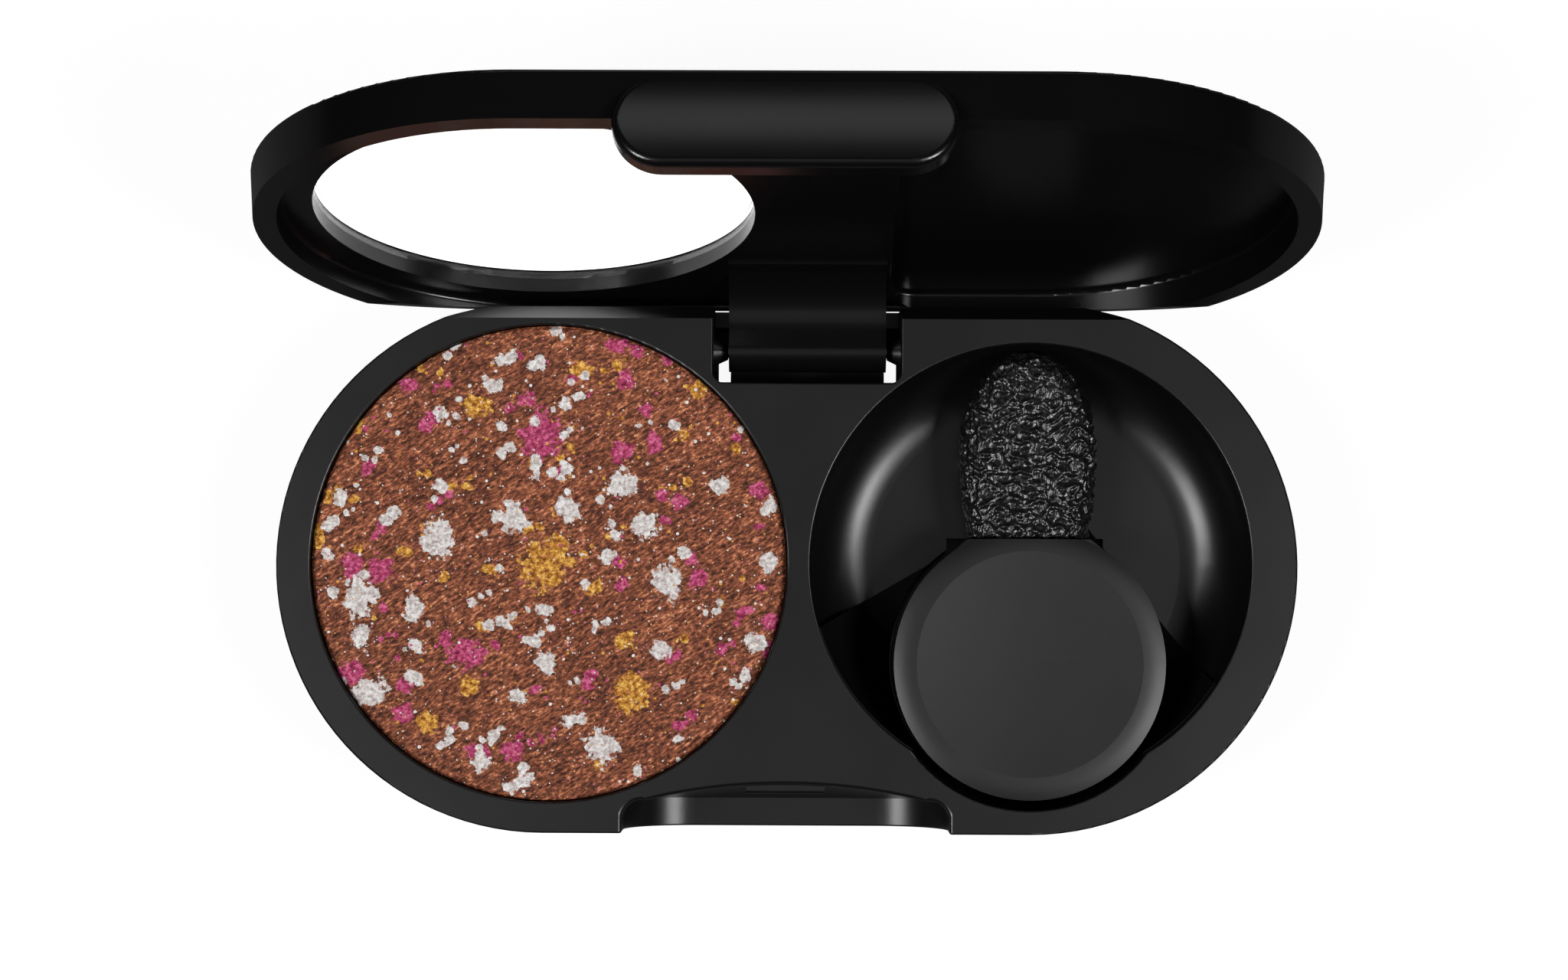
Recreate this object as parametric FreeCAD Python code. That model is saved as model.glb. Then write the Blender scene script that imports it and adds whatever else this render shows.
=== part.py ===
"""Two-well eyeshadow compact: a hinged lid with a clear window over a round pressed
powder, and a dished well that holds a short sponge applicator with a disc handle.

Millimetres. Origin at the centre of the base's underside, +X towards the applicator
well, +Y towards the hinge, +Z up. The lid is drawn closed and then swung back onto its
stop, which is the rest pose."""

import FreeCAD, Part
import math
import os

Vector = FreeCAD.Vector
Placement = FreeCAD.Placement
Rotation = FreeCAD.Rotation

# ---- driving dimensions ------------------------------------------------------------

# Base outline: two half circles joined by straight sides
CASE_R = 17.03
CASE_HALF_PITCH = 15.48
BASE_H = 10.0
SKIRT_WALL = 1.4
DECK_T = 1.2
CUP_WALL = 0.95
BOTTOM_T = 1.0
BOTTOM_EDGE_R = 0.8
EDGE_R = 0.12
NOTCH_EDGE_R = 0.22

# Flat back wall, chamfered up to the deck so that the lid can swing behind it
BACK_WALL_Y = 16.65
BACK_DECK_Y = 15.75
BACK_CHAMFER_DROP = 1.9

# Powder side
PAN_X, PAN_Y = -15.15, 0.13
PAN_OPENING_R = 15.2
PAN_R = 15.1
PAN_WALL = 0.25
PAN_H = 2.8
ADHESIVE_R = 11.0
ADHESIVE_T = 0.15
POWDER_RECESS = 0.45
POWDER_OVER_RIM = 0.35

# Applicator side
WELL_X, WELL_Y = 15.54, 0.18
WELL_R = 14.04
WELL_DEPTH = 5.2
WELL_WALL_DROP = 1.2
POCKET_DEPTH = 7.6
POCKET_FOOT_R = 8.74
FUNNEL_INSET = 0.04
RAMP_SLOPE = math.tan(math.radians(38))
RAMP_LEFT_AZIMUTH = 30.0
RAMP_RIGHT_AZIMUTH = 128.0
HANDLE_X, HANDLE_Y = 15.49, -6.2
HANDLE_R = 8.64
HANDLE_TOP = 0.3
HANDLE_H = 7.85
HANDLE_CREST_R = 7.2
HANDLE_DISH = 0.3
HANDLE_EDGE_DROP = 0.2
NECK_DROP = 0.8
NECK_GAP = 0.12
NECK_SIDE_GAP = 1.2
HANDLE_WALL = 1.1
HANDLE_CAP_T = 1.0
POCKET_R = 9.3
HANDLE_FRONT_Y = 1.75

# Sponge tip and the stem inside it
TIP_END_Y = 13.9
TIP_HALF_W = 4.45
TIP_ROOT_HALF_W = 3.9
TIP_WIDE_Y = 7.6
TIP_T = 3.0
TIP_ROUND = 1.4
TIP_TOP = -0.5
STEM_HALF_W = 2.2
STEM_T = 1.2
STEM_END_Y = 9.5

# Thumb notch in the front wall, with the latch catch on its wall
NOTCH_HALF_W = 10.42
NOTCH_CORNER_RUN = 1.57
NOTCH_SHOULDER_X = 8.9
NOTCH_SHOULDER_Y = -14.93
NOTCH_BACK_Y = -13.84
NOTCH_DEPTH = 7.8
NOTCH_CORNER_R = 4.5
NOTCH_DRAFT = 1.36
NOTCH_END_DRAFT = 0.3
CATCH_HALF_W = 2.5
CATCH_REACH_Y = -14.53
CATCH_TOP = -0.7
CATCH_T = 0.9

# Hinge, offset to the right of the middle
HINGE_X0, HINGE_X1 = -4.74, 7.28
HINGE_FRONT_Y = 11.66
HINGE_CORNER_R = 0.7
HINGE_SILL = -6.0
AXIS_Y = 13.8
AXIS_DROP = 2.63
KNUCKLE_X0, KNUCKLE_X1 = -3.76, 6.34
KNUCKLE_R = 1.3
PIN_R = 0.4
PIN_CLEARANCE = 0.05
PIN_REACH = 3.0
BOSS_WALL_R = 0.95
BOSS_TIP_R = 0.52
BOSS_GAP = 0.06
WINDOW_SLOT_Y0, WINDOW_SLOT_Y1 = 12.25, 14.3
OPEN_ANGLE = 105.9

# Lid, measured up from its rim
LID_GAP = 0.05
LID_RIM_R = 16.88
LID_TOP_R = 17.15
LID_H = 2.95
LID_TOP_ROUND = 0.2
RIM_W = 1.42
ROOF_Z = 1.3
ROOF_ROUND = 0.4
RIGHT_PANEL_Z = 2.1
RIGHT_PANEL_X = 6.5
PANEL_ROUND = 0.3
LID_CHAMFER_Y = 12.3
ARM_TOP_Y = 8.1
ARM_STEP = 0.15

# Clear window: a shallow cap that stands on a ledge in the hole
WINDOW_X = -15.4
WINDOW_HOLE_R = 14.0
WINDOW_R = 13.95
WINDOW_LEDGE_R = 13.45
WINDOW_SEAT_Z = 2.2
WINDOW_WALL = 0.5
WINDOW_T = 0.45
WINDOW_PROUD = 0.42

# Thumb tab on the lid's front
TAB_HALF_W = 9.77
TAB_Z0, TAB_Z1 = -3.24, 2.53
TAB_FACE_Y = -18.0
TAB_BACK_Y = -16.5
TAB_ROUND = 0.45
TAB_CROWN = 0.95
TAB_RIDGE_HALF_W = 2.4
TAB_RIDGE_Y = -14.62
TAB_RIDGE_Z = -2.35

# Blank label let into the underside
LABEL_X = 15.48
LABEL_R = 10.0
LABEL_T = 0.08
LABEL_RECESS = 0.1

DECK = BASE_H
RIM = DECK + LID_GAP
AXIS_Z = DECK - AXIS_DROP
SOLIDS = {}


# ---- shape helpers -----------------------------------------------------------------

def stadium_wire(radius, z, half_pitch=CASE_HALF_PITCH):
    """Outline of two half circles of one radius joined by straight lines."""
    left = -half_pitch
    right = half_pitch
    back = Part.makeLine(Vector(right, radius, z), Vector(left, radius, z))
    left_end = Part.Arc(Vector(left, radius, z), Vector(left - radius, 0, z), Vector(left, -radius, z))
    front = Part.makeLine(Vector(left, -radius, z), Vector(right, -radius, z))
    right_end = Part.Arc(Vector(right, -radius, z), Vector(right + radius, 0, z), Vector(right, radius, z))
    return Part.Wire([back, left_end.toShape(), front, right_end.toShape()])


def stadium_prism(radius, z0, z1):
    return Part.Face(stadium_wire(radius, z0)).extrude(Vector(0, 0, z1 - z0))


def disc(x, y, radius, z0, z1):
    return Part.makeCylinder(radius, z1 - z0, Vector(x, y, z0), Vector(0, 0, 1))


def box(x0, x1, y0, y1, z0, z1):
    return Part.makeBox(x1 - x0, y1 - y0, z1 - z0, Vector(x0, y0, z0))


def along_x(profile, x0, x1):
    """Closed outline of (y, z) points or edges, extruded from x0 to x1."""
    points = [Vector(x0, y, z) for y, z in profile]
    face = Part.Face(Part.makePolygon(points + points[:1]))
    return face.extrude(Vector(x1 - x0, 0, 0))


def revolved(x, y, edges):
    """Solid of revolution about the vertical through (x, y); edges lie in the XZ plane."""
    solid = Part.Face(Part.Wire(edges)).revolve(Vector(0, 0, 0), Vector(0, 0, 1), 360)
    solid.translate(Vector(x, y, 0))
    return solid


def rounded(solid, radius, chosen):
    """Fillet the edges that chosen() picks."""
    edges = [edge for edge in solid.Edges if chosen(edge)]
    return solid.makeFillet(radius, edges)


def flat_at(z):
    """Test for an edge that lies wholly in the plane at height z."""
    def test(edge):
        bounds = edge.BoundBox
        return abs(bounds.ZMin - z) < 1e-3 and abs(bounds.ZMax - z) < 1e-3
    return test


def one_solid(shape):
    """The single solid of a boolean result."""
    solids = shape.removeSplitter().Solids
    if len(solids) != 1:
        raise ValueError("expected one solid, found %d" % len(solids))
    return solids[0]


# ---- base --------------------------------------------------------------------------

def back_cut():
    """What the flat back wall and its chamfer take off the base's outline."""
    return along_x([
        (BACK_DECK_Y, DECK),
        (BACK_WALL_Y, DECK - BACK_CHAMFER_DROP),
        (BACK_WALL_Y, -1.0),
        (BACK_WALL_Y + 3, -1.0),
        (BACK_WALL_Y + 3, DECK + 1),
        (BACK_DECK_Y, DECK + 1),
    ], -40, 40)


def well_dish(grow=0.0):
    """The applicator well's dish: a steep wall, a wide fillet and a flat floor."""
    radius = WELL_R + grow
    top = DECK + 1
    wall_foot = DECK - WELL_WALL_DROP
    floor = DECK - WELL_DEPTH - grow
    sweep = wall_foot - floor
    flat_r = radius - sweep
    mid = Vector(flat_r + sweep * math.cos(math.pi / 4), 0, wall_foot - sweep * math.sin(math.pi / 4))
    return revolved(WELL_X, WELL_Y, [
        Part.makeLine(Vector(0, 0, top), Vector(radius, 0, top)),
        Part.makeLine(Vector(radius, 0, top), Vector(radius, 0, wall_foot)),
        Part.Arc(Vector(radius, 0, wall_foot), mid, Vector(flat_r, 0, floor)).toShape(),
        Part.makeLine(Vector(flat_r, 0, floor), Vector(0, 0, floor)),
        Part.makeLine(Vector(0, 0, floor), Vector(0, 0, top)),
    ])


def handle_pocket():
    """Tapered hole that the handle drops into."""
    floor = DECK - POCKET_DEPTH
    draft = (POCKET_R - POCKET_FOOT_R) / POCKET_DEPTH
    return Part.makeCone(
        POCKET_FOOT_R, POCKET_R + draft, POCKET_DEPTH + 1, Vector(HANDLE_X, HANDLE_Y, floor), Vector(0, 0, 1))


def neck_room():
    """Room in the pocket's rear wall for the handle's shoulders."""
    half = TIP_ROOT_HALF_W + NECK_SIDE_GAP
    back = HANDLE_FRONT_Y + NECK_GAP
    return box(HANDLE_X - half, HANDLE_X + half, HANDLE_Y, back, DECK - POCKET_DEPTH, DECK + 1)


def well_funnel(grow=0.0):
    """Sides that run from the dish's wall down to the foot of the handle's pocket."""
    wall_foot = DECK - WELL_WALL_DROP
    floor = DECK - POCKET_DEPTH - grow
    brim = Part.Wire(Part.makeCircle(WELL_R + grow - FUNNEL_INSET, Vector(WELL_X, WELL_Y, wall_foot)))
    foot = Part.Wire(Part.makeCircle(
        POCKET_FOOT_R + grow - FUNNEL_INSET, Vector(HANDLE_X, HANDLE_Y, floor + FUNNEL_INSET)))
    return Part.makeLoft([brim, foot], True, True)


def in_front_of(azimuth, turn, slope_depth):
    """Space in front of a line that touches the handle; its floor starts at the dish's floor
    and falls by slope_depth over its length."""
    touch = math.radians(azimuth + turn)
    reach = 30.0
    top = DECK + 1
    start = DECK - WELL_DEPTH
    profile = [
        Vector(0, 0, top),
        Vector(0, 0, start),
        Vector(0, -reach, start - slope_depth),
        Vector(0, -reach, top),
    ]
    space = Part.Face(Part.makePolygon(profile + profile[:1])).extrude(Vector(2 * reach, 0, 0))
    space.translate(Vector(-reach, 0, 0))
    spin = Rotation(Vector(0, 0, 1), azimuth if turn > 0 else azimuth - 180)
    place = Vector(HANDLE_X + HANDLE_R * math.cos(touch), HANDLE_Y + HANDLE_R * math.sin(touch), 0)
    space.Placement = Placement(place, spin).multiply(space.Placement)
    return space


def between_ramps(slope_depth):
    """Front part of the well, between the two lines that touch the handle."""
    left = in_front_of(RAMP_LEFT_AZIMUTH, 90, slope_depth)
    return left.common(in_front_of(RAMP_RIGHT_AZIMUTH, -90, slope_depth))


def applicator_well():
    """The dish behind the handle, the pocket, and the steep funnel in front."""
    mouth = disc(WELL_X, WELL_Y, WELL_R, DECK - WELL_WALL_DROP, DECK + 1)
    dish = well_dish().cut(between_ramps(0.01))
    funnel = well_funnel().common(between_ramps(30.0 * RAMP_SLOPE))
    return [mouth, dish, handle_pocket(), neck_room(), funnel]


def applicator_cup():
    """Outside of the moulding around the well, seen from underneath."""
    pocket = disc(HANDLE_X, HANDLE_Y, POCKET_R + CUP_WALL, BOTTOM_T + 0.05, DECK)
    return [well_dish(CUP_WALL), pocket, well_funnel(CUP_WALL)]


def notch_outline(half_w, shoulder_x, shoulder_y, back_y, z):
    """Closed outline of the thumb bay at height z, open side to the front."""
    front = -CASE_R - 3
    corner = Vector(-half_w, shoulder_y - NOTCH_CORNER_RUN, z)
    shoulder = Vector(-shoulder_x, shoulder_y, z)
    bend = Vector(-half_w + 0.35, shoulder_y - 0.35, z)
    middle = Vector(0, back_y, z)

    def mirrored(point):
        return Vector(-point.x, point.y, point.z)

    return Part.Wire([
        Part.makeLine(Vector(-half_w, front, z), corner),
        Part.Arc(corner, bend, shoulder).toShape(),
        Part.Arc(shoulder, middle, mirrored(shoulder)).toShape(),
        Part.Arc(mirrored(shoulder), mirrored(bend), mirrored(corner)).toShape(),
        Part.makeLine(mirrored(corner), Vector(half_w, front, z)),
        Part.makeLine(Vector(half_w, front, z), Vector(-half_w, front, z)),
    ])


def thumb_notch(grow=0.0):
    """Space for the thumb under the lid's tab: a bay whose back wall slopes to its floor."""
    half_w = NOTCH_HALF_W + grow
    floor = DECK - NOTCH_DEPTH - grow
    front = -CASE_R - 3
    rim = notch_outline(half_w, NOTCH_SHOULDER_X, NOTCH_SHOULDER_Y + grow, NOTCH_BACK_Y + grow, DECK)
    foot = notch_outline(
        half_w, NOTCH_SHOULDER_X, NOTCH_SHOULDER_Y - NOTCH_END_DRAFT + grow,
        NOTCH_BACK_Y - NOTCH_DRAFT + grow, floor)
    bay = Part.makeLoft([rim, foot], True, True)
    bay = bay.fuse(Part.Face(rim).extrude(Vector(0, 0, 1)))
    sides = box(-half_w, half_w, front - 1, 0, floor, DECK + 1)
    sides = rounded(sides, NOTCH_CORNER_R, lambda edge: (
        flat_at(floor)(edge) and edge.BoundBox.YLength > 5))
    return bay.common(sides)


def hinge_notch(grow=0.0):
    """Space for the lid's knuckle, open upwards and, above the sill, to the back."""
    notch = box(HINGE_X0 - grow, HINGE_X1 + grow, HINGE_FRONT_Y - grow, CASE_R + 3, BOTTOM_T, DECK + 1)
    return rounded(notch, HINGE_CORNER_R, lambda edge: (
        edge.BoundBox.ZLength > 5 and edge.BoundBox.YMax < AXIS_Y))


def pin_bosses():
    """The two tapered bosses that carry the hinge pin across to the lid's knuckle."""
    left = Part.makeCone(
        BOSS_WALL_R, BOSS_TIP_R, KNUCKLE_X0 - BOSS_GAP - HINGE_X0,
        Vector(HINGE_X0, AXIS_Y, AXIS_Z), Vector(1, 0, 0))
    right = Part.makeCone(
        BOSS_WALL_R, BOSS_TIP_R, HINGE_X1 - KNUCKLE_X1 - BOSS_GAP,
        Vector(HINGE_X1, AXIS_Y, AXIS_Z), Vector(-1, 0, 0))
    left_root = Part.makeCylinder(1.6, 3.4, Vector(HINGE_X0 - 3.4, AXIS_Y, AXIS_Z), Vector(1, 0, 0))
    right_root = Part.makeCylinder(1.6, 3.4, Vector(HINGE_X1, AXIS_Y, AXIS_Z), Vector(1, 0, 0))
    return [left, right, left_root, right_root]


def rounded_deck(body):
    """Soften the deck's edges, a little more along the thumb notch."""
    def at_thumb(edge):
        bounds = edge.BoundBox
        return bounds.YMax < NOTCH_BACK_Y + 0.1 and abs(bounds.Center.x) < NOTCH_HALF_W + 0.1

    def others(edge):
        return flat_at(DECK)(edge) and not at_thumb(edge) and edge.BoundBox.YMin < BACK_DECK_Y - 0.01

    body = rounded(body, NOTCH_EDGE_R, lambda edge: flat_at(DECK)(edge) and at_thumb(edge))
    return rounded(body, EDGE_R, others)


def base_tray():
    """Deck, outer wall and both wells in one moulding, hollow underneath."""
    body = stadium_prism(CASE_R, 0, DECK).cut(back_cut())
    body = rounded(body, BOTTOM_EDGE_R, flat_at(0))

    hollow = stadium_prism(CASE_R - SKIRT_WALL, -1, DECK - DECK_T)
    hollow = hollow.cut(disc(PAN_X, PAN_Y, PAN_OPENING_R + CUP_WALL, DECK - PAN_H - 1.6, DECK))
    for moulding in applicator_cup():
        hollow = hollow.cut(moulding)
    hollow = hollow.cut(thumb_notch(CUP_WALL))
    notch_walls = box(
        HINGE_X0 - CUP_WALL, HINGE_X1 + CUP_WALL, HINGE_FRONT_Y - CUP_WALL, CASE_R, BOTTOM_T + 0.05, DECK)
    hollow = hollow.cut(notch_walls)
    bosses = pin_bosses()
    hollow = hollow.cut(bosses[2]).cut(bosses[3])
    body = body.cut(hollow)

    pan_floor = DECK - POWDER_RECESS - POWDER_OVER_RIM - PAN_H - ADHESIVE_T
    body = body.cut(disc(PAN_X, PAN_Y, PAN_OPENING_R, pan_floor, DECK + 1))
    for space in applicator_well():
        body = body.cut(space)
    body = body.cut(thumb_notch())
    sill = box(-40, 40, CASE_R - SKIRT_WALL, CASE_R + 5, -1, DECK + HINGE_SILL)
    body = body.cut(hinge_notch().cut(sill))
    body = body.fuse(bosses[0]).fuse(bosses[1])
    body = body.cut(Part.makeCylinder(
        PIN_R, HINGE_X1 - HINGE_X0 + 2 * PIN_REACH,
        Vector(HINGE_X0 - PIN_REACH, AXIS_Y, AXIS_Z), Vector(1, 0, 0)))

    body = rounded_deck(one_solid(body))
    catch_z = DECK + CATCH_TOP - CATCH_T
    catch = box(-CATCH_HALF_W, CATCH_HALF_W, CATCH_REACH_Y, NOTCH_BACK_Y + 0.4, catch_z, catch_z + CATCH_T)
    catch = rounded(catch, 0.25, lambda edge: (
        edge.BoundBox.XLength > 1 and edge.BoundBox.YMax < CATCH_REACH_Y + 0.1))
    return one_solid(body.fuse(catch))


def base_bottom():
    """Flat cover let into the skirt, with two core-outs under the hinge."""
    plate = stadium_prism(CASE_R - SKIRT_WALL - 0.05, 0, BOTTOM_T)
    for x0, x1 in ((HINGE_X0 + 0.14, KNUCKLE_X0 - 0.03), (KNUCKLE_X1 + 0.04, HINGE_X1 - 0.08)):
        plate = plate.cut(box(x0, x1, WINDOW_SLOT_Y0, WINDOW_SLOT_Y1, -1, BOTTOM_T + 1))
    plate = plate.cut(disc(LABEL_X, 0, LABEL_R + 0.1, -1, LABEL_RECESS))
    plate = plate.cut(thumb_notch(CUP_WALL + 0.05))
    return one_solid(plate)


def underside_label():
    return disc(LABEL_X, 0, LABEL_R, LABEL_RECESS - LABEL_T, LABEL_RECESS)


# ---- powder side -------------------------------------------------------------------

def pan_foot():
    """Height of the metal pan's underside."""
    return DECK - POWDER_RECESS - POWDER_OVER_RIM - PAN_H


def eyeshadow_pan():
    """Shallow drawn metal pan."""
    foot = pan_foot()
    pan = disc(PAN_X, PAN_Y, PAN_R, foot, foot + PAN_H)
    pan = rounded(pan, 0.5, flat_at(foot))
    bowl = disc(PAN_X, PAN_Y, PAN_R - PAN_WALL, foot + PAN_WALL, foot + PAN_H + 1)
    bowl = rounded(bowl, 0.3, flat_at(foot + PAN_WALL))
    return one_solid(pan.cut(bowl))


def pan_adhesive():
    foot = pan_foot()
    return disc(PAN_X, PAN_Y, ADHESIVE_R, foot - ADHESIVE_T, foot)


def pressed_powder():
    """Powder pressed into the pan and just over its rim."""
    foot = pan_foot()
    fill = disc(PAN_X, PAN_Y, PAN_R - PAN_WALL, foot + PAN_WALL, foot + PAN_H)
    fill = rounded(fill, 0.3, flat_at(foot + PAN_WALL))
    crown_z = foot + PAN_H
    crown = disc(PAN_X, PAN_Y, PAN_OPENING_R - 0.08, crown_z, crown_z + POWDER_OVER_RIM)
    crown = rounded(crown, 0.2, flat_at(crown_z + POWDER_OVER_RIM))
    return one_solid(fill.fuse(crown))


# ---- applicator --------------------------------------------------------------------

def handle_outline(radius, z0, z1):
    """Disc with its front cut straight where the sponge comes out."""
    full = disc(HANDLE_X, HANDLE_Y, radius, z0, z1)
    front = HANDLE_FRONT_Y - (HANDLE_R - radius)
    return full.cut(box(-40, 40, front, 40, z0 - 1, z1 + 1))


def handle_neck(z0, z1):
    """Shoulders that run from the disc, at a tangent, to the corners of the sponge's root."""
    reach = HANDLE_FRONT_Y - HANDLE_Y
    corner = math.hypot(TIP_ROOT_HALF_W, reach)
    angle = math.atan2(TIP_ROOT_HALF_W, reach) + math.acos(HANDLE_R / corner)
    touch_x = HANDLE_R * math.sin(angle)
    touch_y = HANDLE_Y + HANDLE_R * math.cos(angle)
    points = [
        Vector(HANDLE_X - touch_x, touch_y, z0),
        Vector(HANDLE_X - TIP_ROOT_HALF_W, HANDLE_FRONT_Y, z0),
        Vector(HANDLE_X + TIP_ROOT_HALF_W, HANDLE_FRONT_Y, z0),
        Vector(HANDLE_X + touch_x, touch_y, z0),
    ]
    return Part.Face(Part.makePolygon(points + points[:1])).extrude(Vector(0, 0, z1 - z0))


def handle_crown():
    """Space under the handle's top surface: a finger dish inside a rolled edge."""
    top = DECK + HANDLE_TOP
    roll = HANDLE_R - HANDLE_CREST_R
    roll_r = (roll ** 2 + HANDLE_EDGE_DROP ** 2) / (2 * HANDLE_EDGE_DROP)
    half_roll = roll / 2
    mid_drop = roll_r - math.sqrt(roll_r ** 2 - half_roll ** 2)
    dish_mid_z = top - HANDLE_DISH * 0.75
    edge_z = top - HANDLE_EDGE_DROP
    foot = top - HANDLE_H
    dish = Part.Arc(
        Vector(0, 0, top - HANDLE_DISH), Vector(HANDLE_CREST_R / 2, 0, dish_mid_z),
        Vector(HANDLE_CREST_R, 0, top))
    rolled = Part.Arc(
        Vector(HANDLE_CREST_R, 0, top), Vector(HANDLE_CREST_R + half_roll, 0, top - mid_drop),
        Vector(HANDLE_R, 0, edge_z))
    return revolved(HANDLE_X, HANDLE_Y, [
        dish.toShape(),
        rolled.toShape(),
        Part.makeLine(Vector(HANDLE_R, 0, edge_z), Vector(HANDLE_R, 0, foot)),
        Part.makeLine(Vector(HANDLE_R, 0, foot), Vector(0, 0, foot)),
        Part.makeLine(Vector(0, 0, foot), Vector(0, 0, top - HANDLE_DISH)),
    ])


def stem_z():
    """Height of the stem's underside, at mid thickness of the sponge."""
    return DECK + TIP_TOP - TIP_T / 2 - STEM_T / 2


def stem_blade(grow=0.0, y0=HANDLE_Y - 4.0, y1=STEM_END_Y):
    blade = box(
        HANDLE_X - STEM_HALF_W - grow, HANDLE_X + STEM_HALF_W + grow, y0 - grow, y1 + grow,
        stem_z() - grow, stem_z() + STEM_T + grow)
    if grow:
        return blade
    return rounded(blade, 1.2, lambda edge: edge.BoundBox.ZLength > 1 and edge.BoundBox.YMin > y1 - 0.1)


def handle_top():
    """Upper shell of the disc handle."""
    top = DECK + HANDLE_TOP
    foot = top - HANDLE_H
    shell = handle_crown().cut(box(-40, 40, HANDLE_FRONT_Y, 40, foot - 1, top + 1))
    shell = shell.fuse(handle_neck(foot, top - NECK_DROP))
    inside = handle_outline(HANDLE_R - HANDLE_WALL, foot - 1, top - HANDLE_WALL - HANDLE_DISH)
    shell = shell.cut(inside)
    shell = shell.cut(stem_blade(0.04, HANDLE_Y))
    return one_solid(shell)


def handle_bottom():
    """Lower cover of the handle, with the block that grips the stem."""
    top = DECK + HANDLE_TOP
    foot = top - HANDLE_H
    cover = handle_outline(HANDLE_R - HANDLE_WALL - 0.04, foot, foot + HANDLE_CAP_T)
    block_top = top - HANDLE_WALL - HANDLE_DISH - 0.1
    block = box(
        HANDLE_X - STEM_HALF_W - 1.2, HANDLE_X + STEM_HALF_W + 1.2, HANDLE_Y - 5.2, HANDLE_Y + 2.5,
        foot + HANDLE_CAP_T, block_top)
    cover = cover.fuse(block)
    return one_solid(cover.cut(stem_blade(0.04, HANDLE_Y - 4.0)))


def applicator_stem():
    return one_solid(stem_blade())


def sponge_tip():
    """Foam tip: waisted at the root, half an ellipse at the end, pushed over the stem."""
    z0 = DECK + TIP_TOP - TIP_T
    root_y = HANDLE_FRONT_Y + 0.05
    reach = TIP_END_Y - TIP_WIDE_Y
    narrowing = TIP_HALF_W - TIP_ROOT_HALF_W
    side_run = TIP_WIDE_Y - root_y
    side_r = (side_run ** 2 + narrowing ** 2) / (2 * narrowing)
    half_run = side_run / 2
    half_x = TIP_HALF_W - side_r + math.sqrt(side_r ** 2 - half_run ** 2)

    def side(sign):
        """One side, from its widest point down to the root."""
        return Part.Arc(
            Vector(HANDLE_X + sign * TIP_HALF_W, TIP_WIDE_Y, z0),
            Vector(HANDLE_X + sign * half_x, TIP_WIDE_Y - half_run, z0),
            Vector(HANDLE_X + sign * TIP_ROOT_HALF_W, root_y, z0)).toShape()

    ellipse = Part.Ellipse(Vector(HANDLE_X, TIP_END_Y, z0), Vector(HANDLE_X + TIP_HALF_W, TIP_WIDE_Y, z0),
                           Vector(HANDLE_X, TIP_WIDE_Y, z0))
    end = Part.ArcOfEllipse(ellipse, -math.pi / 2, math.pi / 2).toShape()
    root = Part.makeLine(
        Vector(HANDLE_X - TIP_ROOT_HALF_W, root_y, z0), Vector(HANDLE_X + TIP_ROOT_HALF_W, root_y, z0))
    outline = Part.Wire(Part.sortEdges([side(1), end, side(-1), root])[0])
    foam = Part.Face(outline).extrude(Vector(0, 0, TIP_T))
    foam = rounded(foam, TIP_ROUND, lambda edge: (
        (flat_at(z0)(edge) or flat_at(z0 + TIP_T)(edge)) and edge.BoundBox.YLength > 0.1))
    return one_solid(foam.cut(stem_blade(0.04, root_y - 1)))


# ---- lid, drawn closed -------------------------------------------------------------

def lid_shell_blank():
    """Outside of the lid, flaring slightly from the rim to the top edge."""
    lower = stadium_wire(LID_RIM_R, RIM)
    upper = stadium_wire(LID_TOP_R, RIM + LID_H)
    blank = Part.makeLoft([lower, upper], True, True)
    return rounded(blank, LID_TOP_ROUND, flat_at(RIM + LID_H))


def lid_arm():
    """Arm that sweeps down from a low step on the roof to the knuckle round the hinge pin."""
    front = AXIS_Y - KNUCKLE_R
    back = AXIS_Y + KNUCKLE_R
    roof_z = RIM + ROOF_Z
    step_z = roof_z - ARM_STEP
    barrel_top = Vector(0, front, AXIS_Z + 1.0)
    sweep = Part.Arc(barrel_top, Vector(0, 11.8, RIM + 0.13), Vector(0, ARM_TOP_Y, step_z))
    corners = [
        Vector(0, ARM_TOP_Y, step_z),
        Vector(0, ARM_TOP_Y, roof_z + 0.3),
        Vector(0, back, roof_z + 0.3),
        Vector(0, back, AXIS_Z),
        Vector(0, front, AXIS_Z),
        barrel_top,
    ]
    edges = [Part.makeLine(start, end) for start, end in zip(corners, corners[1:])]
    face = Part.Face(Part.Wire([sweep.toShape()] + edges))
    face.translate(Vector(KNUCKLE_X0, 0, 0))
    arm = face.extrude(Vector(KNUCKLE_X1 - KNUCKLE_X0, 0, 0))
    barrel = Part.makeCylinder(
        KNUCKLE_R, KNUCKLE_X1 - KNUCKLE_X0, Vector(KNUCKLE_X0, AXIS_Y, AXIS_Z), Vector(1, 0, 0))
    bore = Part.makeCylinder(
        PIN_R + PIN_CLEARANCE, KNUCKLE_X1 - KNUCKLE_X0 + 2,
        Vector(KNUCKLE_X0 - 1, AXIS_Y, AXIS_Z), Vector(1, 0, 0))
    return arm.fuse(barrel).cut(bore)


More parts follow.
